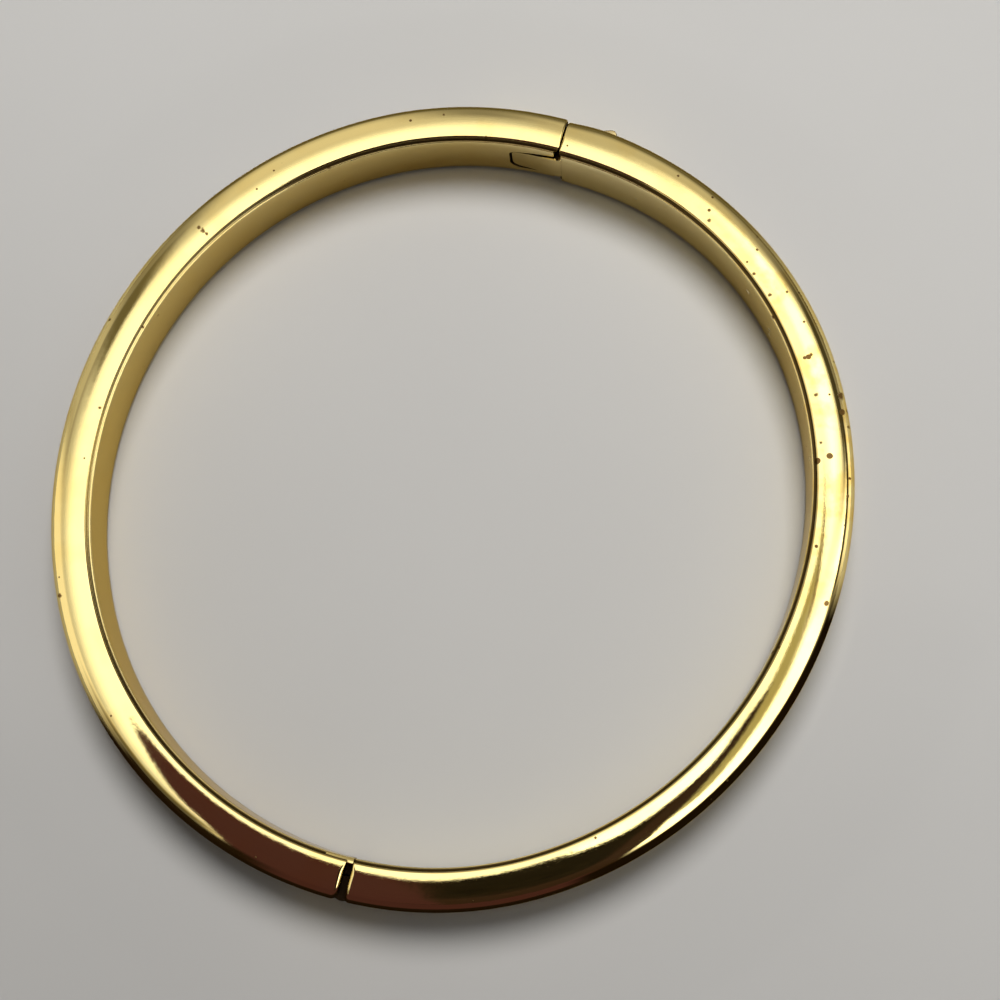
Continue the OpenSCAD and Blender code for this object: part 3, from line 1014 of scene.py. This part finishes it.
# cards close to the camera, which make the long dark reflection on the lower arc
nearCards = {
    # name: (colour, strength, height mm, softness, streaks, outline as rows (up, left, right) in mm)
    "brownCard": (brown, 1.0, 146.4, (0.03, 0, 0, 0.02), 0.25, (
        (-240, -205, -14), (-180, -165, -14), (-130, -128, -14), (-100, -104, -14), (-75, -88, -14),
        (-58, -78, -14), (-46, -79, -14), (-36, -77, -14), (-28, -73, -14), (-17, -66, -14),
        (-6, -58, -17), (1, -50, -21), (11, -33, -26))),
    "strandCard": ((0.036, 0.020, 0.015), 1.0, 146.0, (0, 0.05, 0, 0.02), 0.25, (
        (-240, -16, 133), (-200, -16, 115), (-150, -16, 91), (-100, -16, 71), (-82, -16, 62),
        (-68, -16, 53), (-56, -16, 48), (-40, -16, 46.5), (-25, -16, 43), (-17.5, -16, 40.5),
        (-17, 14, 40), (-11, 18, 38), (-6, 23, 36), (1.5, 21, 32), (8, 18, 26))),
    "darkCard": ((0.012, 0.009, 0.005), 1.0, 145.6, (0.05, 0.14, 0.2, 0.01), 2.5, (
        (-100, -15, 42), (-75, -15, 37), (-50, -15, 32), (-30, -15, 28), (-20, -15, 25),
        (-17, -15, 16), (-13, -15, 7), (-6, -10, 1), (0, -5, -2))),
    "glintCard": (white, 2.8, 147.2, (0.2, 0.15, 0.1, 0.3), 0.25, (
        (-24, 0, 26), (-8, -4, 26), (4, -6, 20), (16, -8, 8), (22, -8, 2))),
    "midCard": ((0.46, 0.42, 0.24), 1.0, 148.0, (0.1, 0.4, 0.1, 0.2), 0.25, (
        (-60, 44, 62), (-40, 43, 62), (-20, 38, 64), (-5, 32, 64), (5, 26, 58), (15, 20, 46),
        (25, 22, 35), (33, 19, 25))),
    "oliveStreak": ((0.17, 0.13, 0.04), 1.0, 147.6, (0.3, 0.3, 0.3, 0.3), 0.25, (
        (-2, 52, 61), (8, 45, 55), (16, 38, 48), (24, 30, 38), (30, 22, 30), (36, 12, 24))),
}
for name, (colour, strength, height, soft, streaks, outline) in nearCards.items():
    def onCard(u, v):
        row = v * (len(outline) - 1)
        low = min(int(row), len(outline) - 2)
        ends = zip(outline[low], outline[low + 1])
        up, left, right = (start + (end - start) * (row - low) for start, end in ends)
        return staged(left + (right - left) * u, up, height)
    panel(name, onCard, 6, len(outline) - 1, glow(name, colour, strength, soft, streaks))

# low cards, seen only in what shines, that stand round the bangle and lie at its foot: painted shade,
# the reflection of the floor's shadow and dark surroundings there; from, to, height, radius, colour,
# strength, softness
kerbs = {
    "brownKerb": (232, 294, 14, 45, brown, 0.9, (0.1, 0.08, 0, 0)),
    "lowerKerb": (206, 294, 4, 44, umber, 0.04, (0.1, 0.08, 0.3, 0)),
    "leftKerb": (199, 247, 21, 44, umber, 0.05, (0.4, 0.2, 0.28, 0)),
    "rightKerb": (286, 350, 13, 44, umber, 0.03, (0.08, 0.12, 0.15, 0)),
    "upperKerb": (26, 150, 9, 44, olive, 0.7, (0.2, 0.2, 0.3, 0.3)),
}
# each stands straight down to the foot, then lies inwards, in mm
foot = {"top": 1.0, "end": 0.2, "long": 10.0}
for name, (start, end, high, wide, colour, strength, soft) in kerbs.items():
    def onKerb(u, v):
        turned = math.radians(start + (end - start) * u)
        if v < 0.5:
            away, height = wide, high + (foot["top"] - high) * 2 * v
        else:
            lying = 2 * v - 1
            away, height = wide - foot["long"] * lying, foot["top"] + (foot["end"] - foot["top"]) * lying
        return staged(away * math.cos(turned), away * math.sin(turned), height)
    panel(name, onKerb, 48, 8, glow(name, colour, strength, soft))

lights = {
    # name: (power, size, place as right, up, height in mm, colour); both aim at the middle
    "overheadLight": (3.5, 380, (70, 300, 690), (1.0, 0.985, 0.96)),
    "fillLight": (0.40, 700, (500, 100, 800), (1.0, 0.985, 0.97)),
}
for name, (power, size, place, colour) in lights.items():
    data = bpy.data.lights.new(name, "AREA")
    data.energy, data.shape, data.size, data.color = power, "DISK", size * mm, colour
    lamp = bpy.data.objects.new(name, data)
    lamp.location = staged(*place) * mm
    lamp.rotation_euler = lamp.location.to_track_quat("Z", "Y").to_euler()
    lamp.visible_camera = lamp.visible_glossy = False
    scene.collection.objects.link(lamp)

world = bpy.data.worlds.new("studio")
world.use_nodes = True
scene.world = world
worldGraph = Graph(world.node_tree)
dimLight = worldGraph.add("ShaderNodeBackground", {}, {"Color": (1.0, 0.97, 0.92, 1), "Strength": 0.05})
worldGraph.add("ShaderNodeOutputWorld", values={"Surface": dimLight})
scene.view_settings.view_transform = "Standard"
print("stage: floor and light set")
